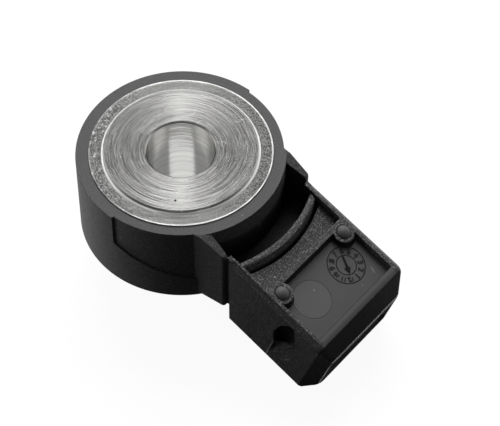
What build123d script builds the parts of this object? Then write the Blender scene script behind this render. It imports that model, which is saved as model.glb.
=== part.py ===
from build123d import *
import math
import os

os.makedirs("parts", exist_ok=True)

# Millimetres. The bore axis is Z, the origin is on it at the plastic back face, and the
# connector points along +X and droops below the horizontal.

# Steel sleeve
BORE_R = 4.2
TUBE_R = 6.0
FLANGE_R = 11.22
FLANGE_TOP = 12.15
FLANGE_THICK = 3.0
DISC_R = 9.48
DISC_TOP = 12.55
DISC_SLOPE = 0.45
SLEEVE_PROUD = 0.15
BORE_CHAMFER = 0.2

# Pieces clamped under the flange, counted from the flange down
WASHER_THICK = 0.3
CONTACT_THICK = 0.4
PIEZO_THICK = 1.5
MASS_THICK = 3.0
SPRING_HEIGHT = 0.6
SPRING_THICK = 0.4
NUT_THICK = 1.0
INSULATOR_WALL = 0.4
WASHER_R = 10.3
CONTACT_R = 9.9
PIEZO_R = 9.9
MASS_R = 10.4
MASS_GAP = 0.15
SPRING_WIDTH = 3.25
SPRING_FLAT = 0.3
NUT_R = 8.6
SLOT_WIDE = 1.8
SLOT_DEEP = 0.8
SLOT_TALL = 0.6
TONGUE_LAP = 1.4
TONGUE_DROP = 1.6
STACK_TOP = FLANGE_TOP - FLANGE_THICK
SPRING_R = TUBE_R + MASS_GAP + SPRING_WIDTH

# Head of the moulding
HEAD_R = 12.8
HEAD_TOP = 12.0
SIDE_RELIEF = 0.3
RELIEF_REAR = (0.1, 7.05)
RELIEF_FRONT = (9.62, 3.25)

# Neck, as places along X with its half width or its height there
NECK_REAR = (9.0, 8.45)
NECK_FRONT = (13.0, 8.12)
NECK_JOIN = (13.95, 7.8)
NECK_FOOT = 0.6
RAMP_START = 10.3
RAMP_KNEE = (13.2, 10.69)
RAMP_END = 13.9

# Connector: u runs along it, v across and n up from its rim plane
DROOP = 20.0
RIM_Z = 15.078
SHOULDER_X = 14.05
SHROUD_DEPTH = 11.51
SHROUD_END = 29.99
SHROUD_HALF = 7.915
SHROUD_MID = 24.0
SHROUD_SPREAD = 0.010
RIM_CHAMFER = 0.62
FRONT_OUT = 0.67
NOSE_TOP = (32.03, -3.15)
NOSE_BOTTOM = (32.52, -9.69)
NOSE_HALF = 6.51
NOSE_CORNER = 1.5
CAVITY_HALF = 5.7
CAVITY_HEIGHT = 4.85
CAVITY_REAR = 22.3
CAVITY_CORNER = 0.8
CAVITY_DEEP = 6.42

# Top of the connector
INNER_HALF = 6.87
POCKET_REAR = (9.4, 6.77)
POCKET_FRONT = (13.3, 7.38)
POCKET_JOIN = (13.95, 6.9)
POCKET_FLOOR = 5.3
RIB_IN = 16.05
RIB_OUT = 16.95
RIB_TOP = 9.15
GROOVE_OUT = 17.4
GROOVE_FLOOR = 6.1
PLATE_DEPTH = 1.1
PLATE_END = 20.55
PANEL_DEPTH = 0.95
PANEL_START = 21.24
PANEL_END = 29.0
PANEL_HALF = 6.85
PIP_U = 22.03
PIP_V = 5.83
PIP_R = 0.74
PIP_HEIGHT = 0.45
LAND_R = 1.35

# Wire-clip notch in each side wall, its outlines as X and Z
NOTCH_DEPTH = 1.35
NOTCH_SHALLOW = 0.55
NOTCH_STEP = 1.9
NOTCH_SHAPE = [
    (21.05, 0.85), (21.05, 2.3), (22.1, 4.35), (23.6, 5.75), (24.25, 5.55), (24.25, 1.9), (23.5, 1.2),
]
RUNOUT_DEPTH = 0.8
RUNOUT_SHAPE = [(21.05, 1.9), (21.05, 0.85), (21.4, -1.0), (23.3, -1.0), (24.1, 0.3), (24.1, 1.9)]

# Terminals and the resistor between them
BLADE_V = 2.5
BLADE_WIDE = 2.8
BLADE_THICK = 0.8
BLADE_TIP = 30.2
POINT_LONG = 1.0
POINT_DEEP = 0.25
LEG_X = 11.4
LEG_WIDE = 1.8
RES_U = 19.2
RES_R = 0.8
RES_LONG = 3.0
CAP_LONG = 0.45
CAP_LIP = 0.1
RES_GAP = 0.25
LEAD_R = 0.25
LEAD_OUT = 0.7
LEAD_BEND = 0.4
BEAD_R = 0.5
BEAD_TALL = 0.4

S = math.sin(math.radians(DROOP))
C = math.cos(math.radians(DROOP))
U_DIR = Vector(C, 0, -S)
N_DIR = Vector(S, 0, C)
RIM = Plane(origin=(0, 0, RIM_Z), x_dir=U_DIR, z_dir=N_DIR)
SIDE = Plane(origin=(0, 0, RIM_Z), x_dir=U_DIR, z_dir=(0, -1, 0))


def at(u, v, n):
    """World point of a place given along the connector."""
    return Vector(0, v, RIM_Z) + U_DIR * u + N_DIR * n


def across(u):
    """Plane square to the connector, with v along its x and n along its y."""
    return Plane(origin=at(u, 0, 0), x_dir=(0, 1, 0), z_dir=U_DIR)


def polygon(plane, points):
    return make_face(plane * Polyline(*points, close=True))


def ring(r_in, r_out, z0, z1):
    profile = [(r_in, z0), (r_out, z0), (r_out, z1), (r_in, z1)]
    return revolve(polygon(Plane.XZ, profile), Axis.Z)


def disc(r, z0, z1):
    return Pos(0, 0, z0) * Cylinder(r, z1 - z0, align=(Align.CENTER, Align.CENTER, Align.MIN))


def half_width(u):
    return SHROUD_HALF + SHROUD_SPREAD * (u - SHROUD_MID)


def u_at(x, n):
    """Place along the connector that stands at a given X."""
    return (x - n * S) / C


def rim_height(x):
    return RIM_Z - x * S / C


def sleeve():
    """Turned sleeve: tube, clamping flange and the raised sensing disc."""
    low = -SLEEVE_PROUD
    c = BORE_CHAMFER
    profile = [
        (BORE_R + c, low),
        (TUBE_R, low),
        (TUBE_R, STACK_TOP),
        (FLANGE_R, STACK_TOP),
        (FLANGE_R, FLANGE_TOP),
        (DISC_R + DISC_SLOPE / 2, FLANGE_TOP),
        (DISC_R - DISC_SLOPE / 2, DISC_TOP),
        (BORE_R + c, DISC_TOP),
        (BORE_R, DISC_TOP - c),
        (BORE_R, low + c),
    ]
    return revolve(polygon(Plane.XZ, profile), Axis.Z)


def stack_levels():
    """Top of each clamped piece, from the flange down."""
    steps = [WASHER_THICK, CONTACT_THICK, PIEZO_THICK, CONTACT_THICK, WASHER_THICK]
    steps += [MASS_THICK, SPRING_HEIGHT, NUT_THICK]
    levels = [STACK_TOP]
    for step in steps:
        levels.append(levels[-1] - step)
    return levels


LEVEL = stack_levels()
INSULATOR_R = TUBE_R + INSULATOR_WALL


def tab(top, side):
    """Tongue of a contact ring, bent down on to the inner face of its terminal leg."""
    y = side * BLADE_V
    root = CONTACT_R - TONGUE_LAP
    inner = LEG_X - BLADE_THICK / 2
    reach = Box(inner - root, LEG_WIDE, CONTACT_THICK, align=(Align.MIN, Align.CENTER, Align.MAX))
    drop = Box(CONTACT_THICK, LEG_WIDE, TONGUE_DROP, align=(Align.MAX, Align.CENTER, Align.MAX))
    return Pos(root, y, top) * reach + Pos(inner, y, top) * drop


def contact_ring(top, side):
    """Stamped contact ring with its tongue."""
    return ring(INSULATOR_R, CONTACT_R, top - CONTACT_THICK, top) + tab(top, side)


def disc_spring():
    """Coned spring between the mass and the nut."""
    top = LEVEL[6]
    low = LEVEL[7]
    inner = TUBE_R + MASS_GAP
    profile = [
        (inner, low),
        (inner + SPRING_FLAT, low),
        (SPRING_R, top - SPRING_THICK),
        (SPRING_R, top),
        (SPRING_R - SPRING_FLAT, top),
        (inner, low + SPRING_THICK),
    ]
    return revolve(polygon(Plane.XZ, profile), Axis.Z)


def ring_nut():
    """Round nut on the sleeve, with four spanner slots."""
    nut = ring(TUBE_R, NUT_R, LEVEL[8], LEVEL[7])
    for k in range(4):
        slot = Pos(NUT_R, 0, LEVEL[8]) * Box(2 * SLOT_DEEP, SLOT_WIDE, 2 * SLOT_TALL)
        nut -= Rot(0, 0, 45 + 90 * k) * slot
    return nut


def terminal(side, top):
    """Stamped terminal: blade, buried run and an upright leg at the head."""
    v = side * BLADE_V
    rear = LEG_X - BLADE_THICK / 2
    low = -CAVITY_DEEP - BLADE_THICK / 2
    high = -CAVITY_DEEP + BLADE_THICK / 2
    run = polygon(SIDE, [(u_at(rear, low), low), (BLADE_TIP, low), (BLADE_TIP, high), (u_at(rear, high), high)])
    run = Pos(0, v, 0) * extrude(run, amount=BLADE_WIDE / 2, both=True)
    foot = at(u_at(rear, low), 0, low).Z + BLADE_THICK / 4
    leg = Box(BLADE_THICK, LEG_WIDE, top - foot, align=(Align.CENTER, Align.CENTER, Align.MIN))
    return run + Pos(LEG_X, v, foot) * leg - points(v, low, high)


def points(v, low, high):
    """Wedges that point the blade's tip from above, below and both sides."""
    rear = BLADE_TIP - POINT_LONG
    front = BLADE_TIP + POINT_LONG
    half = BLADE_WIDE / 2
    cuts = []
    for edge, way in ((high, 1), (low, -1)):
        wedge = polygon(SIDE, [
            (rear, edge), (rear, edge + way), (front, edge + way), (front, edge - way * 2 * POINT_DEEP),
        ])
        cuts.append(Pos(0, v, 0) * extrude(wedge, amount=BLADE_WIDE, both=True))
    for way in (1, -1):
        edge = v + way * half
        wedge = polygon(RIM, [
            (rear, edge), (rear, edge + way), (front, edge + way), (front, edge - way * 2 * POINT_DEEP),
        ])
        cuts.append(extrude(wedge, amount=-SHROUD_DEPTH))
    return cuts


def resistor():
    """Discharge resistor across the two terminals: ceramic rod, caps with leads, solder."""
    n = -CAVITY_DEEP + BLADE_THICK / 2 + RES_R + RES_GAP
    centre = at(RES_U, 0, n)
    place = Pos(centre.X, 0, centre.Z) * Rot(0, DROOP, 0) * Rot(90, 0, 0)
    rod = place * Cylinder(RES_R, RES_LONG)
    caps = place * (Pos(0, 0, RES_LONG / 2 + CAP_LONG / 2) * Cylinder(RES_R + CAP_LIP, CAP_LONG))
    caps += place * (Pos(0, 0, -RES_LONG / 2 - CAP_LONG / 2) * Cylinder(RES_R + CAP_LIP, CAP_LONG))
    solder = []
    leads = []
    blade_top = -CAVITY_DEEP + BLADE_THICK / 2
    for side in (-1, 1):
        start = RES_LONG / 2 + CAP_LONG
        y_out = BLADE_V + LEAD_OUT
        wire = lead_wire(side, start, y_out, n, blade_top)
        leads.append(wire)
        bead = at(RES_U, side * y_out, blade_top)
        drop = Pos(bead.X, bead.Y, bead.Z) * Rot(0, DROOP, 0) * Cylinder(
            BEAD_R, BEAD_TALL, align=(Align.CENTER, Align.CENTER, Align.MIN)
        )
        solder += (drop - wire).solids()
    return rod, caps, leads, solder


def lead_wire(side, start, y_out, n, blade_top):
    """Bent wire from a cap out over the blade and down on to it."""
    a = at(RES_U, side * start, n)
    b = at(RES_U, side * (y_out - LEAD_BEND), n)
    c = at(RES_U, side * y_out, n - LEAD_BEND)
    d = at(RES_U, side * y_out, blade_top)
    path = Polyline(a, b, c, d)
    section = Plane(origin=a, z_dir=(0, side, 0)) * Circle(LEAD_R)
    return sweep(section, path=path, transition=Transition.ROUND)


def shroud_section(u):
    w = half_width(u)
    c = RIM_CHAMFER
    d = -SHROUD_DEPTH
    return polygon(across(u), [
        (-w + c, 0), (w - c, 0), (w, -c), (w, d + c), (w - c, d), (-w + c, d), (-w, d + c), (-w, -c),
    ])


def shroud():
    """Tapering shroud, cut to its upright shoulder and leaning front."""
    block = loft([shroud_section(SHOULDER_X), shroud_section(SHROUD_END + 2 * FRONT_OUT)])
    lean = FRONT_OUT / SHROUD_DEPTH
    high = RIM_CHAMFER
    low = -SHROUD_DEPTH - RIM_CHAMFER
    keep = polygon(SIDE, [
        (u_at(SHOULDER_X, high), high),
        (SHROUD_END - lean * high, high),
        (SHROUD_END - lean * low, low),
        (u_at(SHOULDER_X, low), low),
    ])
    return block & extrude(keep, amount=2 * SHROUD_HALF, both=True)


def nose():
    """Bevelled nose between the shroud's front and the mouth."""
    lean = FRONT_OUT / SHROUD_DEPTH
    size = math.hypot(1, lean)
    c = RIM_CHAMFER

    def place(v, n):
        return at(SHROUD_END - lean * n, v, n)

    def half(n):
        return half_width(SHROUD_END - lean * n)

    d = -SHROUD_DEPTH
    spots = [
        (-half(0) + c, 0), (half(0) - c, 0), (half(-c), -c), (half(d + c), d + c),
        (half(d) - c, d), (-half(d) + c, d), (-half(d + c), d + c), (-half(-c), -c),
    ]
    rear = make_face(Polyline(*[place(v, n) for v, n in spots], close=True))
    du = NOSE_BOTTOM[0] - NOSE_TOP[0]
    dn = NOSE_BOTTOM[1] - NOSE_TOP[1]
    long = math.hypot(du, dn)
    z_dir = U_DIR * (-dn / long) + N_DIR * (du / long)
    mouth = Plane(origin=at(NOSE_TOP[0], 0, NOSE_TOP[1]), x_dir=(0, 1, 0), z_dir=z_dir)
    w = NOSE_HALF
    r = NOSE_CORNER
    k = r * (1 - math.sqrt(0.5))
    edges = [
        Line((-w + r, 0), (w - r, 0)),
        ThreePointArc((w - r, 0), (w - k, -k), (w, -r)),
        Line((w, -r), (w, -long + r)),
        ThreePointArc((w, -long + r), (w - k, -long + k), (w - r, -long)),
        Line((w - r, -long), (-w + r, -long)),
        ThreePointArc((-w + r, -long), (-w + k, -long + k), (-w, -long + r)),
        Line((-w, -long + r), (-w, -r)),
        ThreePointArc((-w, -r), (-w + k, -k), (-w + r, 0)),
    ]
    front = make_face([mouth * edge for edge in edges])
    return loft([rear, front], ruled=True)


def plan_of(rear, front, join, end):
    """Mirrored outline seen from above: straight sides, an easy bend, then the run to its end."""
    fall = (front[1] - rear[1]) / (front[0] - rear[0])
    edges = [
        Line(rear, front),
        Spline(front, join, tangents=[(1, fall), (1, 0)]),
        Line(join, end),
    ]
    edges += [edge.mirror(Plane.XZ) for edge in edges]
    edges += [Line(rear, (rear[0], -rear[1])), Line(end, (end[0], -end[1]))]
    return make_face(edges)


def neck():
    """Solid neck under the side walls, with its tops ramped down to the rim plane."""
    end = SHOULDER_X + SIDE_RELIEF
    block = extrude(plan_of(NECK_REAR, NECK_FRONT, NECK_JOIN, (end, NECK_JOIN[1])), amount=RIM_Z)
    ramp = [
        (NECK_REAR[0], NECK_FOOT),
        (NECK_REAR[0], HEAD_TOP),
        (RAMP_START, HEAD_TOP),
        RAMP_KNEE,
        (RAMP_END, rim_height(RAMP_END)),
        (end, rim_height(end)),
        (end, NECK_FOOT),
    ]
    return block & extrude(polygon(Plane.XZ, ramp), amount=2 * SHROUD_HALF, both=True)


def top_cuts():
    """Pocket behind the ring, the round-topped sunk rib, its groove and the grainy plate."""
    plan = plan_of(POCKET_REAR, POCKET_FRONT, POCKET_JOIN, (PANEL_START, INNER_HALF))
    inner = Pos(0, 0, NECK_FOOT) * extrude(plan, amount=RIM_Z)
    crest = (RIB_OUT - RIB_IN) / 2
    shoulder = RIB_TOP - crest
    dome = revolve(Pos(RIB_IN + crest, 0, shoulder) * (Plane.XZ * Circle(crest)), Axis.Z)
    floor_cut = inner & ring(HEAD_R, RIB_IN, POCKET_FLOOR, RIM_Z)
    rib_cut = inner & (ring(RIB_IN, RIB_OUT, shoulder, RIM_Z) - dome)
    groove_cut = inner & ring(RIB_OUT, GROOVE_OUT, GROOVE_FLOOR, RIB_TOP)
    plate = polygon(SIDE, [
        (SHOULDER_X, -PLATE_DEPTH), (PLATE_END, -PLATE_DEPTH), (PLATE_END, PLATE_DEPTH), (SHOULDER_X, PLATE_DEPTH),
    ])
    plate_cut = inner & (extrude(plate, amount=INNER_HALF, both=True) - disc(RIB_OUT, 0, RIM_Z))
    return [floor_cut, rib_cut, plate_cut, groove_cut]


def panel_cut():
    """Smooth sunk panel, drawn straight down, leaving a round land at each pip."""
    long = PANEL_END - PANEL_START
    sketch = Pos(PANEL_START + long / 2, 0) * Rectangle(long, 2 * PANEL_HALF)
    for side in (-1, 1):
        sketch -= Pos(PIP_U, side * PIP_V) * Circle(LAND_R)
    face = Pos(0, 0, PANEL_DEPTH) * (RIM * sketch)
    return extrude(face, amount=PANEL_DEPTH + PANEL_DEPTH / C, dir=(0, 0, -1))


def pips():
    """Low domes on the lands."""
    r = (PIP_R ** 2 + PIP_HEIGHT ** 2) / (2 * PIP_HEIGHT)
    domes = []
    for side in (-1, 1):
        p = at(PIP_U, side * PIP_V, PIP_HEIGHT - r)
        domes.append(Pos(p.X, p.Y, p.Z) * Sphere(r))
    return domes


def notch(side):
    """Wire-clip notch in a side wall: deep below, shallow beside the panel, with a sloped run-out."""
    wall = half_width(SHROUD_MID)
    shape = extrude(polygon(Plane.XZ, NOTCH_SHAPE), amount=2 * SHROUD_HALF, both=True)
    outside = wall + NOTCH_DEPTH
    zones = []
    for depth, top in ((NOTCH_DEPTH, -NOTCH_STEP), (NOTCH_SHALLOW, RIM_CHAMFER)):
        zone = polygon(SIDE, [
            (SHOULDER_X, -SHROUD_DEPTH), (SHROUD_END, -SHROUD_DEPTH), (SHROUD_END, top), (SHOULDER_X, top),
        ])
        reach = outside - (wall - depth)
        slab = extrude(zone, amount=reach / 2, both=True)
        zones.append(shape & (Pos(0, side * (wall - depth + reach / 2), 0) * slab))
    low = RUNOUT_SHAPE[2][1]
    edge = RUNOUT_SHAPE[1][1]
    high = RUNOUT_SHAPE[0][1]
    rear = wall - RUNOUT_DEPTH
    slant = [(outside, high), (rear, high), (rear, edge), (wall, low), (outside, low)]
    wedge = extrude(polygon(Plane.YZ, [(side * y, z) for y, z in slant]), amount=SHROUD_END)
    zones.append(wedge & extrude(polygon(Plane.XZ, RUNOUT_SHAPE), amount=2 * SHROUD_HALF, both=True))
    return zones


def cavity():
    """Plug cavity behind the mouth."""
    sketch = Pos(0, -CAVITY_DEEP) * RectangleRounded(2 * CAVITY_HALF, CAVITY_HEIGHT, CAVITY_CORNER)
    return extrude(across(CAVITY_REAR) * sketch, amount=NOSE_BOTTOM[0] - CAVITY_REAR + RIM_CHAMFER)


def side_relief():
    """Shallow relief drawn by the side slides, on both sides of the head above a slant."""
    top = HEAD_TOP + SIDE_RELIEF
    zone = polygon(Plane.XZ, [
        RELIEF_REAR, (RELIEF_REAR[0], top), (RELIEF_FRONT[0], top), RELIEF_FRONT,
    ])
    band = ring(HEAD_R - SIDE_RELIEF, HEAD_R + SIDE_RELIEF, 0, top)
    return band & extrude(zone, amount=2 * HEAD_R, both=True)


def housing(inner):
    """One black moulding round everything: head, neck, connector."""
    body = disc(HEAD_R, 0, HEAD_TOP) - side_relief()
    body = body + neck() + shroud() + nose()
    for cut in top_cuts() + [panel_cut(), cavity()] + notch(1) + notch(-1):
        body -= cut
    for dome in pips():
        body += dome
    body -= disc(TUBE_R, -SLEEVE_PROUD, DISC_TOP)
    for piece in inner:
        body -= piece
    return body


def main():
    tube = sleeve()
    rod, caps, leads, solder = resistor()
    blade_far = terminal(1, LEVEL[1])
    blade_near = terminal(-1, LEVEL[3])
    parts = {
        "flanged_sleeve": tube,
        "insulating_washer_upper": ring(INSULATOR_R, WASHER_R, LEVEL[1], LEVEL[0]),
        "contact_ring_upper": contact_ring(LEVEL[1], 1),
        "piezo_ring": ring(INSULATOR_R, PIEZO_R, LEVEL[3], LEVEL[2]),
        "contact_ring_lower": contact_ring(LEVEL[3], -1),
        "insulating_washer_lower": ring(INSULATOR_R, WASHER_R, LEVEL[5], LEVEL[4]),
        "insulating_tube": ring(TUBE_R, INSULATOR_R, LEVEL[5], LEVEL[0]),
        "seismic_mass": ring(TUBE_R + MASS_GAP, MASS_R, LEVEL[6], LEVEL[5]),
        "disc_spring": disc_spring(),
        "ring_nut": ring_nut(),
        "terminal_far": blade_far,
        "terminal_near": blade_near,
        "resistor_rod": rod,
        "resistor_caps": caps,
        "resistor_leads": Compound(children=leads),
        "solder_beads": Compound(children=solder),
    }
    envelope = ring(TUBE_R, MASS_R, LEVEL[6], LEVEL[5])
    spring_space = ring(TUBE_R, SPRING_R, LEVEL[7], LEVEL[6])
    inner = [tube, envelope, spring_space] + [s for p in parts.values() for s in p.solids()]
    parts["housing"] = housing(inner)
    for name, shape in parts.items():
        export_step(shape, "parts/" + name + ".step")
        print(name, len(shape.solids()), round(shape.volume, 2))


main()
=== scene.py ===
"""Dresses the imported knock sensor: a black moulded housing round a turned steel sleeve."""

import math

import bpy
from mathutils import Matrix, Vector


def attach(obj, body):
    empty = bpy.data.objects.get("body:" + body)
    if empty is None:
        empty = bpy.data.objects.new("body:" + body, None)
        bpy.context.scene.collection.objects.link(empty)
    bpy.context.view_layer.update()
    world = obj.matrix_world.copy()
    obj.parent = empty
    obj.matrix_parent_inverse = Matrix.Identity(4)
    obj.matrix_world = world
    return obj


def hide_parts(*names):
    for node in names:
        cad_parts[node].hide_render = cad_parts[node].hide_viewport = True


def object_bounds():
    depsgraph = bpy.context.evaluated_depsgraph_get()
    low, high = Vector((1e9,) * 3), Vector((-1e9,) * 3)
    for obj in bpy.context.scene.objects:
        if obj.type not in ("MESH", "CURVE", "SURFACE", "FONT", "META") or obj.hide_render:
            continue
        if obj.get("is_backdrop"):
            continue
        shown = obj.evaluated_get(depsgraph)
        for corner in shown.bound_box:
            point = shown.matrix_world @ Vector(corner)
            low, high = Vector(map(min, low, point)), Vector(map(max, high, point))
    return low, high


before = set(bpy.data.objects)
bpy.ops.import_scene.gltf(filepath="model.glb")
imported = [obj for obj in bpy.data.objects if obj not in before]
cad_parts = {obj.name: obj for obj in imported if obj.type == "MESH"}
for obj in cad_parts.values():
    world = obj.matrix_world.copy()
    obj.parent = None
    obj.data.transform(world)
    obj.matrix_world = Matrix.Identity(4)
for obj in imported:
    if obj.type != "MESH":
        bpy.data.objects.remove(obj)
cad_low, cad_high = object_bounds()


# Housing. One black glass-filled nylon moulding: a ring round the sleeve, a short neck and a
# drooping plug shroud. Sliced blocks and turned discs make up the shell, the pocket, the panel,
# the plug cavity and the clip notches are cut from it, and its edges are softened last.

MM = 0.001
DROOP = math.radians(20)
RIM_Z = 15.078
ALONG = Vector((math.cos(DROOP), 0, -math.sin(DROOP)))
ACROSS = Vector((0, 1, 0))
UPWARD = Vector((math.sin(DROOP), 0, math.cos(DROOP)))


def spot(u, v, n):
    """A place on the connector, in millimetres, as a point of the frame."""
    return (Vector((0, 0, RIM_Z)) + ALONG * u + ACROSS * v + UPWARD * n) * MM


def alone(piece):
    """Makes one piece the only one selected."""
    bpy.ops.object.select_all(action="DESELECT")
    piece.select_set(True)
    bpy.context.view_layer.objects.active = piece


def settled(name):
    """Names the new primitive and moves its place into its mesh."""
    piece = bpy.context.object
    piece.name = name
    bpy.ops.object.transform_apply(location=True, rotation=True, scale=True)
    return piece


def turned_disc(name, radius, low, high, sides=224, centre=(0, 0), stretch=1.0):
    """Upright cylinder between two heights."""
    bpy.ops.object.select_all(action="DESELECT")
    bpy.ops.mesh.primitive_cylinder_add(
        vertices=sides, radius=radius * MM, depth=(high - low) * MM,
        location=(centre[0] * MM, centre[1] * MM, (low + high) / 2 * MM), scale=(stretch, 1, 1),
    )
    return settled(name)


def sliced_block(name, cuts):
    """A big cube cut down by planes, each given by a point on it and the way out of the block."""
    bpy.ops.object.select_all(action="DESELECT")
    bpy.ops.mesh.primitive_cube_add(size=0.09, location=(0.01, 0, 0))
    piece = settled(name)
    bpy.ops.object.mode_set(mode="EDIT")
    for point, way in cuts:
        bpy.ops.mesh.select_all(action="SELECT")
        bpy.ops.mesh.bisect(plane_co=point, plane_no=way.normalized(), use_fill=True, clear_outer=True)
    bpy.ops.object.mode_set(mode="OBJECT")
    return piece


def round_edges(piece, wanted, width, steps=4):
    """Bevels the edges whose two ends, in millimetres, answer to the test."""
    alone(piece)
    bpy.context.tool_settings.mesh_select_mode = (False, True, False)
    bpy.ops.object.mode_set(mode="EDIT")
    bpy.ops.mesh.select_all(action="DESELECT")
    bpy.ops.object.mode_set(mode="OBJECT")
    mesh = piece.data
    for edge in mesh.edges:
        start, end = (mesh.vertices[i].co / MM for i in edge.vertices)
        edge.select = wanted(start, end)
    bpy.ops.object.mode_set(mode="EDIT")
    bpy.ops.mesh.bevel(offset=width * MM, segments=steps, affect="EDGES")
    bpy.ops.object.mode_set(mode="OBJECT")


def combine(target, tool, how):
    """Joins, cuts or keeps the common part, and uses the tool up."""
    alone(target)
    step = target.modifiers.new("combine", "BOOLEAN")
    step.operation = how
    step.solver = "EXACT"
    step.object = tool
    bpy.ops.object.modifier_apply(modifier=step.name)
    bpy.data.objects.remove(tool)
    return target


def x_plane(x, way):
    return Vector((x, 0, 0)) * MM, Vector((way, 0, 0))


def z_plane(z, way):
    return Vector((0, 0, z)) * MM, Vector((0, 0, way))


def slope(x0, z0, x1, z1):
    """Plane through two places seen from the side, with its outer side to the left of the way."""
    return Vector((x0, 0, z0)) * MM, Vector((z0 - z1, 0, x1 - x0))


def sides(x0, y0, x1, y1):
    """Two mirrored side planes through two places seen from above."""
    out = Vector((-(y1 - y0), x1 - x0, 0))
    return [
        (Vector((x0, y0, 0)) * MM, out),
        (Vector((x0, -y0, 0)) * MM, Vector((out.x, -out.y, 0))),
    ]


HEAD_R, HEAD_TOP = 12.8, 12.0
NECK_START, NECK_END, NECK_LOW = 8.0, 13.5, 0.6
NECK_BROAD, NECK_NARROW = (9.6, 8.42), (13.0, 8.12)
RAMP_START, RAMP_KNEE, RAMP_END = (10.3, HEAD_TOP), (13.2, 10.69), (13.9, 10.02)
THROAT_START, THROAT_END, THROAT_LOW, THROAT_HALF = 11.5, 14.3, 0.75, 7.55
SHROUD_START, SHROUD_DEEP, SHROUD_HALF = 14.05, 11.51, 7.915
RIM_CHAMFER = 0.62
SPREAD = 0.010
RIM_HALF = 6.87
NECK_ROUND, CORNER_ROUND = 0.38, 0.55


def upright_beyond(x):
    """Test for the upright edges past a place along the part."""
    return lambda a, b: min(a.x, b.x) > x and abs(a.z - b.z) > 1


neck = sliced_block("housing_shell", [
    x_plane(NECK_START, -1), x_plane(NECK_END, 1), z_plane(NECK_LOW, -1), z_plane(HEAD_TOP, 1),
    slope(*RAMP_START, *RAMP_KNEE), slope(*RAMP_KNEE, *RAMP_END), *sides(*NECK_BROAD, *NECK_NARROW),
])
round_edges(neck, upright_beyond(NECK_END - 0.1), NECK_ROUND)
throat = sliced_block("throat", [
    x_plane(THROAT_START, -1), x_plane(THROAT_END, 1), z_plane(THROAT_LOW, -1), (spot(0, 0, -0.05), UPWARD),
    *sides(11, THROAT_HALF, 14, THROAT_HALF),
])
housing = combine(neck, throat, "UNION")


def shroud_side(n, tilt):
    """Mirrored side planes of the tapering shroud: the wall itself, or a bevel on it."""
    return [
        (spot(24, way * SHROUD_HALF, n), UPWARD * tilt + ACROSS * way - ALONG * SPREAD)
        for way in (1, -1)
    ]


def through(a, b, c, inside):
    """Plane through three places on the connector, facing away from a place inside."""
    p, q, r = spot(*a), spot(*b), spot(*c)
    way = (q - p).cross(r - p).normalized()
    if way.dot(spot(*inside) - p) > 0:
        way = -way
    return p, way


# Planes through the corners of the nose cut it: the bevels above and below, the cheeks, and the mouth
# between its upper edge and the chin.
middle = (25, 0, -6)
BROW_U = 29.99
CHEEK_U, CHEEK_V, CHEEK_N = 30.03, 7.975, -0.62
CHEEK_FOOT_U, CHEEK_FOOT_V, CHEEK_FOOT_N = 30.63, 7.98, -10.9
MOUTH_U, MOUTH_N, MOUTH_HALF = 32.03, -3.15, 6.51
CHIN_U, CHIN_N = 32.52, -9.69
JAW_U, JAW_N = 30.66, -11.5
cheeks = [
    through(
        (CHEEK_U, CHEEK_V * way, CHEEK_N), (CHEEK_FOOT_U, CHEEK_FOOT_V * way, CHEEK_FOOT_N),
        (MOUTH_U, MOUTH_HALF * way, MOUTH_N), middle,
    )
    for way in (1, -1)
]
shroud = sliced_block("shroud", [
    x_plane(SHROUD_START, -1),
    (spot(0, 0, 0), UPWARD),
    (spot(0, 0, -SHROUD_DEEP), -UPWARD),
    *shroud_side(0, 0),
    *shroud_side(-RIM_CHAMFER, 1),
    *shroud_side(-SHROUD_DEEP + RIM_CHAMFER, -1),
    through((BROW_U, 0, 0), (MOUTH_U, 0, MOUTH_N), (BROW_U, 5, 0), middle),
    through((JAW_U, 0, JAW_N), (CHIN_U, 0, CHIN_N), (JAW_U, 5, JAW_N), middle),
    *cheeks,
    through((MOUTH_U, 0, MOUTH_N), (CHIN_U, 0, CHIN_N), (MOUTH_U, 5, MOUTH_N), middle),
])


def nose_corner(a, b):
    """An edge at the front, out at one side."""
    return min(a.x, b.x) > 27.1 and abs(a.y) > 6.3 and abs(b.y) > 6.3


round_edges(shroud, nose_corner, CORNER_ROUND)
housing = combine(housing, shroud, "UNION")

INLET_END, INLET_ROUND = 13.62, 0.3
INLET_NARROW, INLET_BROAD = (9.4, 6.77), (13.3, 7.38)
inlet = sliced_block("inlet", [
    x_plane(9.0, -1), x_plane(INLET_END, 1), z_plane(2, -1), z_plane(16, 1),
    *sides(*INLET_NARROW, *INLET_BROAD),
])
round_edges(inlet, upright_beyond(INLET_END - 0.12), INLET_ROUND)
well = sliced_block("well", [
    x_plane(12.5, -1), x_plane(22, 1), z_plane(1.8, -1), z_plane(16.2, 1),
    *sides(13, RIM_HALF, 20, RIM_HALF),
])
well = combine(well, inlet, "UNION")


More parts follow.
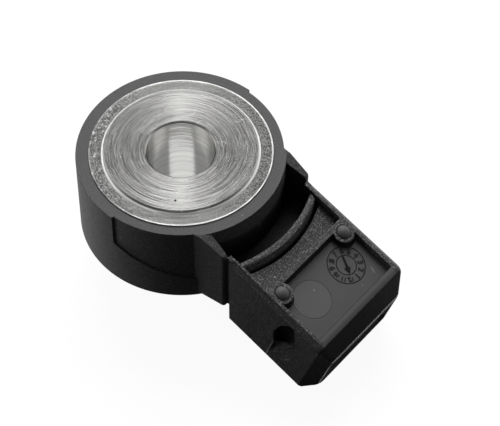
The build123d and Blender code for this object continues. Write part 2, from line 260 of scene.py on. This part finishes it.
def turned(name, profile, sides=224):
    """Solid turned about the bore from a profile of radii and heights that ends on the axis."""
    bpy.ops.object.select_all(action="DESELECT")
    radius, height = profile[0]
    bpy.ops.mesh.primitive_plane_add(size=MM, location=(radius * MM, 0, height * MM))
    bpy.context.tool_settings.mesh_select_mode = (True, False, False)
    bpy.ops.object.mode_set(mode="EDIT")
    bpy.ops.mesh.select_all(action="SELECT")
    bpy.ops.mesh.merge(type="CENTER")
    for place in profile[1:]:
        step = ((place[0] - radius) * MM, 0, (place[1] - height) * MM)
        bpy.ops.mesh.extrude_region_move(TRANSFORM_OT_translate={"value": step})
        radius, height = place
    bpy.ops.mesh.select_all(action="SELECT")
    bpy.ops.mesh.spin(steps=sides, angle=math.tau, center=(0, 0, 0), axis=(0, 0, 1))
    bpy.ops.mesh.select_all(action="SELECT")
    bpy.ops.mesh.remove_doubles(threshold=0.001 * MM)
    bpy.ops.mesh.normals_make_consistent(inside=False)
    bpy.ops.object.mode_set(mode="OBJECT")
    return settled(name)


# The cutter leaves the round-topped rib standing between the pocket and its groove, with the plate
# sloping away outside them.
RIB_IN, RIB_OUT, RIB_TOP = 16.05, 16.95, 9.15
GROOVE_OUT, GROOVE_FLOOR = 17.4, 6.1
POCKET_FLOOR = 5.3
PLATE_N, PLATE_END = -1.1, 20.55
CREST = 0.36
turns = (0, math.pi / 6, math.pi / 3, math.pi / 2)
arc = [(CREST * (1 - math.cos(turn)), CREST * (math.sin(turn) - 1)) for turn in turns]
cutter = turned("cutter", [
    (0, POCKET_FLOOR), (RIB_IN, POCKET_FLOOR),
    *((RIB_IN + r, RIB_TOP + z) for r, z in arc),
    *((RIB_OUT - r, RIB_TOP + z) for r, z in reversed(arc)),
    (RIB_OUT, GROOVE_FLOOR), (GROOVE_OUT, GROOVE_FLOOR), (GROOVE_OUT, 15.5), (0, 15.5),
])
plate = sliced_block("plate", [
    (spot(0, 0, PLATE_N), -UPWARD), (spot(PLATE_END, 0, 0), ALONG), (spot(0, 0, 2), UPWARD), x_plane(13, -1),
    (Vector((0, 0.009, 0)), ACROSS), (Vector((0, -0.009, 0)), -ACROSS),
])
plate = combine(plate, turned_disc("inside", RIB_OUT + 0.1, 0, 18), "DIFFERENCE")
cutter = combine(combine(cutter, plate, "UNION"), well, "INTERSECT")
housing = combine(housing, cutter, "DIFFERENCE")

PANEL_START, PANEL_END = 21.24 * ALONG.x, 29.0 * ALONG.x
PANEL_N, PANEL_HALF = -0.95, 6.85
PIP_U, PIP_V, PIP_N, PIP_R = 22.03, 5.83, -0.616, 1.066
LAND_R = 1.35
panel = sliced_block("panel", [
    x_plane(PANEL_START, -1), x_plane(PANEL_END, 1), (spot(0, 0, PANEL_N), -UPWARD),
    (spot(0, 0, 1.5), UPWARD), *sides(20, PANEL_HALF, 27, PANEL_HALF),
])
for way in (1, -1):
    pip_centre = (PIP_U * ALONG.x, way * PIP_V)
    land = turned_disc("land", LAND_R, 0, 15, sides=64, centre=pip_centre, stretch=ALONG.x)
    panel = combine(panel, land, "DIFFERENCE")
housing = combine(housing, panel, "DIFFERENCE")

PLUG_START, PLUG_LOW, PLUG_TOP, PLUG_HALF = 22.3, -8.845, -3.995, 5.7
PLUG_ROUND = 0.8
plug_well = sliced_block("plug_well", [
    (spot(PLUG_START, 0, 0), -ALONG), (spot(34, 0, 0), ALONG), (spot(0, 0, PLUG_LOW), -UPWARD),
    (spot(0, 0, PLUG_TOP), UPWARD), *sides(20, PLUG_HALF, 30, PLUG_HALF),
])
round_edges(plug_well, lambda a, b: abs((a - b).dot(ALONG)) > 5, PLUG_ROUND, steps=3)
housing = combine(housing, plug_well, "DIFFERENCE")


def y_plane(y, way):
    return Vector((0, y, 0)) * MM, Vector((0, way, 0))


# The plug's clips snap into a notch on each side. A ledge stays under the rim, and a shallow run-out
# lets the clip slide in from below.
NOTCH_BACK = 6.56
LEDGE_N, LEDGE_OUT = -1.9, 7.35
RUNOUT_FLOOR, RUNOUT_TILT = 7.05, (3.4, 0.95)
notch_outline = [
    (21.05, 0.35), (21.05, 2.3), (22.1, 4.3), (23.55, 5.6), (24.25, 5.35), (24.4, 0.6), (22.94, -0.08),
]
notch_walls = [
    slope(*start, *end) for start, end in zip(notch_outline, notch_outline[1:] + notch_outline[:1])
]
for way in (1, -1):
    outside = y_plane(way * 9, way)
    notch = sliced_block("notch", [*notch_walls, outside, y_plane(way * NOTCH_BACK, -way)])
    ledge = sliced_block("ledge", [
        x_plane(20, -1), x_plane(26, 1), (spot(0, 0, LEDGE_N), -UPWARD), (spot(0, 0, 3), UPWARD),
        y_plane(way * LEDGE_OUT, way), y_plane(way * 5, -way),
    ])
    housing = combine(housing, combine(notch, ledge, "DIFFERENCE"), "DIFFERENCE")
    runout = sliced_block("runout", [
        slope(20.3, -2.7, 21.18, 0.4), slope(21.05, 1.5, 24.1, 1.5), slope(24.2, 1.9, 24.2, 0.5),
        slope(24.2, 0.5, 23.6, -1.8), slope(23.6, -1.8, 21.7, -3.2), slope(21.7, -3.2, 20.3, -2.7),
        outside,
        (Vector((0, way * RUNOUT_FLOOR, 0.1)) * MM, Vector((0, -way * RUNOUT_TILT[0], -RUNOUT_TILT[1]))),
    ])
    housing = combine(housing, runout, "DIFFERENCE")

# The ring, with a shallow relief on its side towards the connector, and the rooms for the sleeve's flange,
# the clamped stack and the sleeve's foot.
RELIEF_START, RELIEF_END, RELIEF_DEPTH = 0.18, 10.2, 0.3
ROOMS = ((11.22, 9.15, 13), (10.4, 1.65, 9.2), (6.0, -1, 2))
head = turned_disc("head", HEAD_R, 0, HEAD_TOP)
relief = sliced_block("relief", [
    x_plane(RELIEF_START, -1), x_plane(RELIEF_END, 1), slope(9.62, 3.25, 0.1, 7.05),
])
core = turned_disc("core", HEAD_R - RELIEF_DEPTH, -2, 14)
head = combine(head, combine(relief, core, "DIFFERENCE"), "DIFFERENCE")
housing = combine(housing, head, "UNION")
for radius, low, high in ROOMS:
    housing = combine(housing, turned_disc("room", radius, low, high), "DIFFERENCE")
for way in (1, -1):
    bpy.ops.object.select_all(action="DESELECT")
    bpy.ops.mesh.primitive_uv_sphere_add(
        segments=48, ring_count=24, radius=PIP_R * MM, location=spot(PIP_U, way * PIP_V, PIP_N)
    )
    housing = combine(housing, settled("pip"), "UNION")

SOFT_EDGE = 0.07
alone(housing)
bpy.ops.object.mode_set(mode="EDIT")
bpy.ops.mesh.select_all(action="SELECT")
bpy.ops.mesh.remove_doubles(threshold=0.004 * MM)
bpy.ops.object.mode_set(mode="OBJECT")
soften = housing.modifiers.new("soften", "BEVEL")
soften.width = SOFT_EDGE * MM
soften.segments = 2
soften.limit_method = "ANGLE"
soften.angle_limit = math.radians(32)
soften.use_clamp_overlap = False
bpy.ops.object.modifier_apply(modifier=soften.name)
bpy.ops.object.shade_smooth_by_angle(angle=math.radians(35))
even = housing.modifiers.new("even", "WEIGHTED_NORMAL")
even.weight = 100
even.keep_sharp = True
bpy.ops.object.modifier_apply(modifier=even.name)


# Dial. A round insert in the mould leaves its print in the panel: twelve plain numbers round an arrow,
# raised by a few hundredths of a millimetre and moulded in one with the housing.

DIAL_U, DIAL_V, DIAL_R = 25.0, 3.27, 2.41
NUMBERS_R = 1.83
NUMBER_HEIGHT, WIDE_NUMBER_HEIGHT = 1.0, 0.76
NUMBER_RISE = 0.04
dial_marks = []
for hour in range(12):
    angle = math.tau * hour / 12
    outward = ALONG * math.cos(angle) + ACROSS * math.sin(angle)
    centre = spot(DIAL_U, DIAL_V, PANEL_N - 0.02) + outward * NUMBERS_R * MM
    bpy.ops.object.select_all(action="DESELECT")
    bpy.ops.object.text_add()
    number = bpy.context.object
    number.data.body = str(hour + 1)
    number.data.size = (NUMBER_HEIGHT if hour < 9 else WIDE_NUMBER_HEIGHT) * MM
    number.data.offset = 0.025 * MM
    number.data.align_x = "CENTER"
    number.data.align_y = "CENTER"
    number.data.extrude = NUMBER_RISE * MM
    number.matrix_world = Matrix.Translation(centre + UPWARD * NUMBER_RISE * MM) @ Matrix(
        (outward.cross(UPWARD), outward, UPWARD)
    ).transposed().to_4x4()
    bpy.ops.object.convert(target="MESH")
    dial_marks.append(settled("number"))
ARROW_TURN = math.radians(26.3)
ahead = ALONG * math.cos(ARROW_TURN) - ACROSS * math.sin(ARROW_TURN)
aside = UPWARD.cross(ahead)


def on_dial(forward, sideways, lift=0.0):
    """A place on the dial, in millimetres along the arrow and aside of it."""
    return spot(DIAL_U, DIAL_V, PANEL_N + lift) + (ahead * forward + aside * sideways) * MM


ARROW_REACH, STEM_HALF = 1.15, 0.13
flat = [(on_dial(0, 0, 0.06), UPWARD), (on_dial(0, 0, -0.02), -UPWARD)]
dial_marks.append(sliced_block("arrow_stem", [
    *flat, (on_dial(-ARROW_REACH, 0), -ahead), (on_dial(0.32, 0), ahead),
    (on_dial(0, STEM_HALF), aside), (on_dial(0, -STEM_HALF), -aside),
]))
tip = on_dial(ARROW_REACH, 0)
dial_marks.append(sliced_block("arrow_head", [
    *flat, (on_dial(0.3, 0), -ahead), (tip, ahead * 0.45 + aside * 0.85), (tip, ahead * 0.45 - aside * 0.85),
]))
bpy.ops.object.select_all(action="DESELECT")
for mark in dial_marks:
    mark.select_set(True)
housing.select_set(True)
bpy.context.view_layer.objects.active = housing
bpy.ops.object.join()


# Finish of the housing. The nylon is rough and speckled where the mould is etched, and smoother on the
# panel, the front strip and the pips.

class Flow:
    """A shader socket that takes part in Python sums."""

    tree = None

    def __init__(self, socket):
        self.socket = socket

    @classmethod
    def node(cls, kind, settings=None, out=0, **inputs):
        """Adds a node, sets it up, then fills the sockets named by the keywords."""
        made = cls.tree.nodes.new(kind)
        for key, value in (settings or {}).items():
            setattr(made, key, value)
        for key, value in inputs.items():
            name = key.replace("_", " ")
            socket = made.inputs[int(key[1:])] if key[1:].isdigit() else made.inputs[name]
            if isinstance(value, Flow):
                cls.tree.links.new(value.socket, socket)
            else:
                socket.default_value = value
        return Flow(made.outputs[out])

    def maths(self, other, operation, swap=False):
        first, second = (other, self) if swap else (self, other)
        return Flow.node("ShaderNodeMath", {"operation": operation}, i0=first, i1=second)

    def __add__(self, other):
        return self.maths(other, "ADD")

    def __sub__(self, other):
        return self.maths(other, "SUBTRACT")

    def __mul__(self, other):
        return self.maths(other, "MULTIPLY")

    def __truediv__(self, other):
        return self.maths(other, "DIVIDE")

    def __radd__(self, other):
        return self.maths(other, "ADD", True)

    def __rsub__(self, other):
        return self.maths(other, "SUBTRACT", True)

    def __rmul__(self, other):
        return self.maths(other, "MULTIPLY", True)

    def __pow__(self, other):
        return self.maths(other, "POWER")

    def minimum(self, other):
        return self.maths(other, "MINIMUM")

    def maximum(self, other):
        return self.maths(other, "MAXIMUM")

    def fade(self, low, high):
        """0 at low, 1 at high, smooth between."""
        kind = {"interpolation_type": "SMOOTHSTEP"}
        return Flow.node("ShaderNodeMapRange", kind, Value=self, From_Min=low, From_Max=high)

    def size(self):
        """The value without its sign."""
        return self.maths(0.0, "ABSOLUTE")

    def within(self, low, high, soft):
        """1 between low and high, 0 beyond, with soft ends inside them."""
        return self.fade(low, low + soft) * (1 - self.fade(high - soft, high))

    def below(self, low, high):
        """1 at low, 0 at high, smooth between."""
        return 1 - self.fade(low, high)


def finish_named(name):
    """New material with an empty Principled shader, and its Flow tree made current."""
    material = bpy.data.materials.new(name)
    material.use_nodes = True
    Flow.tree = material.node_tree
    return material, material.node_tree.nodes["Principled BSDF"]


def connect(shader, name, value):
    """Links a Flow to one of the shader's sockets."""
    Flow.tree.links.new(value.socket, shader.inputs[name])


def place_in_mm():
    """Object coordinates in millimetres, whole and as x, y, z."""
    here = Flow.node("ShaderNodeTexCoord", out="Object")
    scaled = Flow.node("ShaderNodeVectorMath", {"operation": "SCALE"}, i0=here, Scale=1000.0)
    parts = Flow.node("ShaderNodeSeparateXYZ", i0=scaled).socket.node
    return scaled, Flow(parts.outputs[0]), Flow(parts.outputs[1]), Flow(parts.outputs[2])


def noise(at, scale, detail=2.0, rough=0.5):
    return Flow.node("ShaderNodeTexNoise", Vector=at, Scale=scale, Detail=detail, Roughness=rough)


def mixed(amount, first, second):
    """Colour mix."""
    return Flow.node("ShaderNodeMix", {"data_type": "RGBA"}, i0=amount, i6=first, i7=second, out=2)


def band(value, middle, half):
    """1 within half a width of the middle value, 0 beyond."""
    return (value - middle).size().below(half * 0.6, half)


def distance(first, second):
    """Length of the two steps taken at right angles."""
    return (first * first + second * second) ** 0.5


def grey(level):
    return level, level, level, 1


plastic, shader = finish_named("black_nylon")
where, x, y, z = place_in_mm()
u = x * ALONG.x - (z - RIM_Z) * UPWARD.x
n = x * UPWARD.x + (z - RIM_Z) * UPWARD.z
across = y.size()
ring = distance(x, y)
inside_rim = across.below(6.8, 6.9)
FRONT_LINE = 28.95
on_panel = u.within(21.3, FRONT_LINE, 0.05) * across.below(6.8, PANEL_HALF) * n.within(-1.1, -0.7, 0.05)
front_strip = (
    u.fade(FRONT_LINE, FRONT_LINE + 0.1) * u.below(BROW_U - 0.04, BROW_U + 0.01) * n.fade(-0.3, -0.2)
    * inside_rim
)
off_pip = distance(x - PIP_U * ALONG.x, across - PIP_V)
dome = off_pip.below(0.82, 0.9) * n.fade(-1.0, -0.95)
head_top = z.fade(11.85, 11.95) * ring.below(12.7, 12.78)
smooth = (on_panel + front_strip + dome * 0.8 + head_top * 0.4).minimum(1.0)
grain = noise(where, 5.5, 3.0, 0.6)
coarse = noise(where, 1.4, 2.0, 0.5)
specks = grain.fade(0.48, 0.66) * (1 - smooth * 0.85)
rough_top = (
    n.fade(-1.25, -1.15) * x.fade(13.0, 13.2) * u.below(BROW_U - 0.04, BROW_U + 0.06)
    * across.below(7.2, 7.35)
)
black = (0.028, 0.028, 0.029, 1)
glass_speck = (0.085, 0.085, 0.086, 1)
pale_speck = (0.15, 0.15, 0.151, 1)
smooth_grey = (0.062, 0.062, 0.063, 1)
tone = mixed(specks, black, mixed(rough_top, glass_speck, pale_speck))
tone = mixed(smooth, tone, smooth_grey)

# Marks of the mould on the panel: the dial's two rings, its numbers and the ejector's round.
INNER_RING_R = 1.27
PIN_MARK_R = 2.445
off_dial = distance(u - DIAL_U, y - DIAL_V)
dial_ring = band(off_dial, DIAL_R, 0.09) + band(off_dial, INNER_RING_R, 0.08)
raised_marks_shade = off_dial.below(DIAL_R + 0.01, DIAL_R + 0.04) * n.fade(PANEL_N + 0.015, PANEL_N + 0.035)
off_pin = distance(u - DIAL_U, y + DIAL_V)
pin_ring = band(off_pin, PIN_MARK_R, 0.07)
in_pin = off_pin.below(PIN_MARK_R - 0.065, PIN_MARK_R - 0.025)
front_line = band(u, FRONT_LINE, 0.06) * inside_rim * n.fade(-1.1, -1.0)
# The dial's rings are dark grooves; its raised numbers and arrow are darkened as painted shade.
tone = mixed(on_panel * (dial_ring + raised_marks_shade * 0.9).minimum(1.0), tone, grey(0.010))
tone = mixed(on_panel * in_pin * 0.5, tone, glass_speck)
tone = mixed(on_panel * pin_ring * 0.6, tone, grey(0.025))
tone = mixed(front_line * 0.8, tone, grey(0.015))

# Painted shade: deep black painted where the moulding is hollow or turns down, on the notches, the nose, the
# pocket, the step behind the panel, the walls of the lands and the foot of each pip.
notch_shade = (
    across.fade(6.3, 6.4) * across.below(7.45, 7.6) * x.within(20.9, 24.3, 0.1)
    * z.fade(-0.1, 0.3) * n.below(-1.5, -1.4)
)
tone = mixed(notch_shade * 0.9, tone, grey(0.003))

# The nose is painted black as shade; the cheeks, which catch the light that the nose doesn't, are left out
# of it. Their plane narrows with these shares of u and n.
CHEEK_SPREAD, CHEEK_LEAN = 0.7916, 0.0467
off_cheek = across - CHEEK_V + (u - CHEEK_U) * CHEEK_SPREAD + (n - CHEEK_N) * CHEEK_LEAN
on_cheek = off_cheek.fade(-0.115, -0.035)
nose_shade = u.fade(BROW_U - 0.01, BROW_U + 0.07) * n.fade(MOUTH_N - 0.05, MOUTH_N + 0.05) * (1 - on_cheek)
tone = mixed(nose_shade * (0.95 - y.fade(-4.0, 8.0) * 0.25), tone, grey(0.002))
# Painted shade in the pocket round the rib.
pocket_shade = (
    ring.fade(12.7, 12.76) * ring.below(16.0, 16.1) * n.below(-1.4, -0.9) * across.below(6.9, 7.0)
    * z.fade(5.0, 5.2) * x.fade(9.0, 10.0)
)
tone = mixed(pocket_shade * 0.75, tone, grey(0.004))
# Painted shade on the step behind the panel and on the walls of the pips' lands.
off_land = distance((x - PIP_U * ALONG.x) / ALONG.x, across - PIP_V)
land_wall_shade = band(off_land, LAND_R, 0.12) * x.fade(PANEL_START - 0.1, PANEL_START)
panel_step_shade = (
    band(x, PANEL_START, 0.1).maximum(land_wall_shade) * n.fade(-1.0, -0.93) * n.below(-0.12, -0.04) * inside_rim
)
# Painted shadow round the foot of each pip.
pip_foot_shade = band(off_pip, 0.88, 0.1) * n.fade(-0.5, -0.3) * x.fade(18.0, 18.5)
tone = mixed(pip_foot_shade * 0.8, tone, grey(0.003))
tone = mixed(panel_step_shade * 0.95, tone, grey(0.001))

# Wear and painted highlights: pale scratches on the panel and specks of dust, a pale painted highlight along
# the near run-out's edge, and a white painted highlight round the lip of the mouth.
panel_scratch = band((y - 5.46) + (u - 27.2) * 0.356, 0.0, 0.05) * band(u, 27.65, 0.48)
# Painted highlight along the edge of the near run-out.
runout_edge_highlight = band((x - 21.12) - (z - 0.34) * 0.293, 0.0, 0.06) * band(z, -1.85, 2.3) * y.below(-7.9, -7.7)
mouth_lip_highlight = (
    band(n, MOUTH_N, 0.1) * u.fade(31.8, 31.9)
    + band(across, MOUTH_HALF - 0.03, 0.1) * n.below(MOUTH_N - 0.05, MOUTH_N + 0.05) * n.fade(-9.8, -9.6)
    * u.fade(31.9, 32.0)
).minimum(1.0)
dust = Flow.node("ShaderNodeTexVoronoi", Vector=where, Scale=0.55).below(0.03, 0.05)
wear_and_highlight = (panel_scratch * 0.35 + runout_edge_highlight * 0.5 + dust * 0.6).minimum(1.0)
tone = mixed(wear_and_highlight, tone, grey(0.50))
tone = mixed(mouth_lip_highlight, tone, grey(1.0))
connect(shader, "Base Color", tone)
rough = 0.42 + coarse * 0.10 + grain * 0.08 - smooth * 0.06 + nose_shade * 0.2 + panel_step_shade * 0.4
connect(shader, "Roughness", rough)
height = grain * (1 - smooth * 0.85) - on_panel * (dial_ring + pin_ring * 0.5)
bump = Flow.node("ShaderNodeBump", Strength=0.6, Distance=0.00008, Height=height)
connect(shader, "Normal", bump)
shader.inputs["Specular IOR Level"].default_value = 0.4
housing.data.materials.append(plastic)
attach(housing, "root")
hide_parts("housing")


# Steel sleeve. Turned from bar: a through bore, a clamping flange with a rough rim and a raised
# sensing disc with fine concentric tool marks. The moulding grips it.

BORE_R = 4.25
DISC_EDGE = 9.3
AZIMUTH = math.radians(39.717)
RIGHT_X, RIGHT_Y = math.cos(AZIMUTH), math.sin(AZIMUTH)
steel, shader = finish_named("turned_steel")
where, x, y, z = place_in_mm()
radius = distance(x, y)
lines = Flow.node("ShaderNodeCombineXYZ", i0=radius * 11.0 + z * 6.0, i1=x * 0.12, i2=y * 0.12)
tool_marks = noise(lines, 1.0, 1.0, 0.5)
hair_lines = Flow.node("ShaderNodeCombineXYZ", i0=radius * 45.0 + z * 30.0, i1=x * 0.2, i2=y * 0.2)
hair = noise(hair_lines, 1.0, 0.0)
bands = noise(lines, 0.22, 2.0, 0.5)
grit = noise(where, 5.0, 3.0, 0.65)
in_bore = radius.below(BORE_R, BORE_R + 0.15)
on_disc = radius.below(DISC_EDGE, DISC_EDGE + 0.2) * (1 - in_bore)
on_flange = radius.fade(9.6, 9.9)

# The flange is rough and dark towards both ends of the way that runs rightward in the picture, and its
# left side is the most worn.
rightward = x * RIGHT_X + y * RIGHT_Y
left_side = rightward.below(-9.0, -3.0)
dull_steel = (0.60, 0.60, 0.585, 1)
bright_steel = (0.70, 0.695, 0.68, 1)
tone = mixed(bands.fade(0.3, 0.7), dull_steel, bright_steel)
ends = rightward.size().fade(2.0, 9.0)
tone = mixed(on_flange * grit.fade(0.44, 0.56) * (0.15 + ends * 0.7), tone, (0.14, 0.14, 0.135, 1))
flecks = noise(where, 3.0, 4.0, 0.7).fade(0.55, 0.60) * on_flange * (0.20 + left_side * 0.3)
# Painted highlights on the flange's outer and inner edges, patchy and faint on its left side; where they lie
# the metal is lowered, as on a burr.
rim_patches = grit.fade(0.4, 0.6) * noise(where, 0.6).fade(0.35, 0.6)
outer_rim_highlight = band(radius, 11.12, 0.11) * (0.6 - left_side * 0.6 + rim_patches * 0.5)
edge_highlights = outer_rim_highlight + band(radius, 9.58, 0.13)
tone = mixed((flecks + edge_highlights).minimum(1.0), tone, (0.90, 0.90, 0.89, 1))
swirl = noise(where, 0.22, 1.0, 0.4)
thin = (swirl - 0.5).size().below(0.0005, 0.0018)
scratches = thin * noise(where, 0.35, 1.0, 0.5).fade(0.55, 0.6) * on_disc
dot = ((x - 4.56) ** 2 + (y + 6.31) ** 2).below(0.012, 0.03)
tone = mixed(scratches * 0.8, tone, (0.95, 0.95, 0.94, 1))
tone = mixed(dot * on_disc, tone, grey(0.05))
connect(shader, "Base Color", tone)
connect(shader, "Metallic", 1 - (flecks * 0.5 + edge_highlights * 0.5 + scratches * 0.35).minimum(0.7))
rough = 0.20 + tool_marks * 0.10 + on_flange * 0.14 + scratches * 0.3 - in_bore * 0.10
connect(shader, "Roughness", rough)

# The finest tool marks tilt the surface to and from the bore, and the coarser ones are a bump on that.
height = tool_marks * (1 - on_flange * 0.3 - in_bore * 0.5) * 0.3 + grit * on_flange * 0.5
tilt = (hair - 0.5) * (1.9 - on_flange * 0.6)
outward = Flow.node(
    "ShaderNodeCombineXYZ", i0=x / radius * tilt * (1 - in_bore), i1=y / radius * tilt * (1 - in_bore),
    i2=tilt * in_bore * 0.15,
)
facing = Flow.node("ShaderNodeNewGeometry", out="Normal")
facing = Flow.node("ShaderNodeVectorMath", {"operation": "ADD"}, i0=facing, i1=outward)
facing = Flow.node("ShaderNodeVectorMath", {"operation": "NORMALIZE"}, i0=facing)
bump = Flow.node("ShaderNodeBump", Strength=1.0, Distance=0.00007, Height=height, Normal=facing)
connect(shader, "Normal", bump)
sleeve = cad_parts["flanged_sleeve"]
sleeve.data.materials.clear()
sleeve.data.materials.append(steel)


# Pieces inside. The clamped stack, the terminals and the resistor stay as the frame has them;
# each gets the finish of what it is made of.

def plain_finish(name, low, high, scale, rough, metallic=0.0):
    """Two tones of one material, mottled at the given scale."""
    material, shader = finish_named(name)
    spread = noise(place_in_mm()[0], scale, 3.0, 0.55)
    connect(shader, "Base Color", mixed(spread, (*low, 1), (*high, 1)))
    connect(shader, "Roughness", rough - 0.06 + spread * 0.12)
    shader.inputs["Metallic"].default_value = metallic
    bump = Flow.node("ShaderNodeBump", Strength=0.3, Distance=0.00001, Height=spread)
    connect(shader, "Normal", bump)
    return material


film = plain_finish("amber_film", (0.50, 0.30, 0.08), (0.66, 0.42, 0.15), 1.5, 0.35)
brass = plain_finish("stamped_brass", (0.66, 0.50, 0.22), (0.80, 0.64, 0.33), 2.0, 0.32, 1.0)
blade = plain_finish("tinned_brass", (0.62, 0.61, 0.58), (0.76, 0.75, 0.72), 1.8, 0.3, 1.0)
finishes = {
    "insulating_washer_upper": film,
    "insulating_washer_lower": film,
    "insulating_tube": film,
    "contact_ring_upper": brass,
    "contact_ring_lower": brass,
    "terminal_far": blade,
    "terminal_near": blade,
    "piezo_ring": plain_finish("fired_ceramic", (0.52, 0.49, 0.42), (0.64, 0.61, 0.54), 3.0, 0.6),
    "seismic_mass": plain_finish("turned_mass", (0.34, 0.34, 0.35), (0.48, 0.48, 0.48), 2.5, 0.38, 1.0),
    "disc_spring": plain_finish("hard_spring", (0.22, 0.22, 0.24), (0.34, 0.34, 0.36), 2.0, 0.36, 1.0),
    "ring_nut": plain_finish("nut_steel", (0.52, 0.52, 0.50), (0.64, 0.64, 0.62), 2.5, 0.34, 1.0),
    "resistor_rod": plain_finish("lacquered_rod", (0.24, 0.38, 0.46), (0.34, 0.48, 0.56), 2.0, 0.35),
    "resistor_caps": plain_finish("plated_caps", (0.56, 0.56, 0.56), (0.70, 0.70, 0.70), 2.0, 0.3, 1.0),
    "resistor_leads": plain_finish("tinned_wire", (0.62, 0.62, 0.62), (0.76, 0.76, 0.76), 3.0, 0.28, 1.0),
    "solder_beads": plain_finish("solder", (0.54, 0.54, 0.55), (0.68, 0.68, 0.70), 3.0, 0.26, 1.0),
}
for node, material in finishes.items():
    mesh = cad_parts[node].data
    mesh.materials.clear()
    mesh.materials.append(material)


# Studio. A white paper floor below the connector's lowest corner and a white surround. A big soft lamp
# and a narrow strip hang high behind the part, and smaller lamps stand low at its left and right.

bpy.ops.object.select_all(action="DESELECT")
FLOOR_SIZE, FLOOR_GAP = 1.2, 0.0001
bpy.ops.mesh.primitive_plane_add(size=FLOOR_SIZE, location=(0.015, 0, cad_low.z - FLOOR_GAP))
floor = settled("floor")
paper, shader = finish_named("white_paper")
shader.inputs["Roughness"].default_value = 0.9
x, y = place_in_mm()[1:3]
behind = (y * RIGHT_X - x * RIGHT_Y).fade(-18.0, -2.0)

# Under the bore the paper is bright in a wedge that opens to the front, which the bore mirrors as a stripe.
forward = x * RIGHT_Y - y * RIGHT_X
sideways = x * RIGHT_X + y * RIGHT_Y
off_wedge = (sideways.size() - (forward + 2.25) * 0.9).fade(-0.25, 0.25)
under_ring = distance(x, y).below(9.0, 12.0)
below_bore = under_ring * (1.0 - off_wedge * 0.68)
glow = Flow.node("ShaderNodeEmission", Color=(1, 1, 1, 1), Strength=1.0)
rays = Flow.node("ShaderNodeLightPath").socket.node
direct = Flow(rays.outputs["Is Camera Ray"]).maximum(Flow(rays.outputs["Is Transmission Ray"]))
connect(shader, "Base Color", mixed(direct, grey(0.06), grey(0.9)))
# Seen in reflections, the paper glows brighter behind the part and beneath the mouth: painted light that the
# housing mirrors.
below_mouth = y.within(-3.0, 17.0, 4.0) * x.fade(19.0, 23.0) * x.below(29.0, 32.0)
around = behind.maximum(below_mouth) * 0.72 * (1 - under_ring)
mirrored = Flow(rays.outputs["Is Glossy Ray"]) * (around + below_bore * 0.97)
seen = direct * 0.94 + mirrored
blend = Flow.node("ShaderNodeMixShader", i0=seen, i1=Flow(shader.outputs[0]), i2=glow)
Flow.tree.links.new(blend.socket, Flow.tree.nodes["Material Output"].inputs["Surface"])
floor.data.materials.append(paper)
floor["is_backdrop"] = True

world = bpy.data.worlds.new("studio")
bpy.context.scene.world = world
world.use_nodes = True
Flow.tree = world.node_tree
for old in list(Flow.tree.nodes):
    Flow.tree.nodes.remove(old)
rays = Flow.node("ShaderNodeLightPath").socket.node
direct = Flow(rays.outputs["Is Camera Ray"]).maximum(Flow(rays.outputs["Is Transmission Ray"]))
looking = Flow.node("ShaderNodeTexCoord", out="Generated")
parts = Flow.node("ShaderNodeSeparateXYZ", i0=looking).socket.node
east, north, height = (Flow(parts.outputs[i]) for i in range(3))
horizon = height.below(0.35, 0.68)
backward = (north * RIGHT_X - east * RIGHT_Y).fade(-0.5, 0.5)
mirrored = Flow(rays.outputs["Is Glossy Ray"]) * (0.04 + horizon * (0.16 + backward * 0.5))
strength = 0.025 + direct * 0.975 + mirrored
sky = Flow.node("ShaderNodeBackground", Color=(1, 1, 1, 1), Strength=strength)
out = Flow.tree.nodes.new("ShaderNodeOutputWorld")
Flow.tree.links.new(sky.socket, out.inputs["Surface"])


def soft_lamp(name, wide, tall, glow, way, gap, mirrored=False):
    """Soft rectangular lamp in a direction from the part, given its radiance; steel may mirror it."""
    data = bpy.data.lights.new(name, "AREA")
    data.shape = "RECTANGLE"
    data.size = wide
    data.size_y = tall
    data.energy = glow * wide * tall * math.pi
    lamp = bpy.data.objects.new(name, data)
    bpy.context.collection.objects.link(lamp)
    way = Vector(way).normalized()
    side = Vector((0, 0, 1)).cross(way).normalized()
    facing = Matrix((side, way.cross(side), way)).transposed().to_4x4()
    lamp.matrix_world = Matrix.Translation(way * gap) @ facing
    lamp.visible_glossy = mirrored


soft_lamp("strip", 0.055, 0.50, 1.6, (-0.38, 0.46, 0.80), 0.35, mirrored=True)
soft_lamp("left", 0.15, 0.25, 6.0, (-0.77, -0.60, 0.35), 0.35)
soft_lamp("right", 0.12, 0.20, 4.5, (0.85, 0.50, 0.10), 0.35)
soft_lamp("fill", 0.40, 0.40, 8.8, (-0.42, 0.55, 0.72), 0.42)


# Camera. A long lens looks down on the part at about 53 degrees, from the place that was solved for
# the picture.

ELEVATION = math.radians(53.227)
FOCAL_PIXELS, FRAME_PIXELS = 2400, 500
AWAY, RIGHTWARD, DOWNWARD = 300.018, 8.349, 0.205
right = Vector((RIGHT_X, RIGHT_Y, 0))
back = Vector((RIGHT_Y * math.cos(ELEVATION), -RIGHT_X * math.cos(ELEVATION), math.sin(ELEVATION)))
up = back.cross(right)
lens = bpy.data.cameras.new("camera")
lens.sensor_fit = "HORIZONTAL"
lens.sensor_width = 36
lens.lens = lens.sensor_width * FOCAL_PIXELS / FRAME_PIXELS
lens.clip_start = 0.01
lens.clip_end = 5
camera = bpy.data.objects.new("camera", lens)
bpy.context.collection.objects.link(camera)
turn = Matrix((right, up, back)).transposed().to_4x4()
stand = (back * AWAY + right * RIGHTWARD - up * DOWNWARD) * MM
camera.matrix_world = Matrix.Translation(stand) @ turn
bpy.context.scene.camera = camera
bpy.context.scene.view_settings.view_transform = "Standard"

low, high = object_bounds()
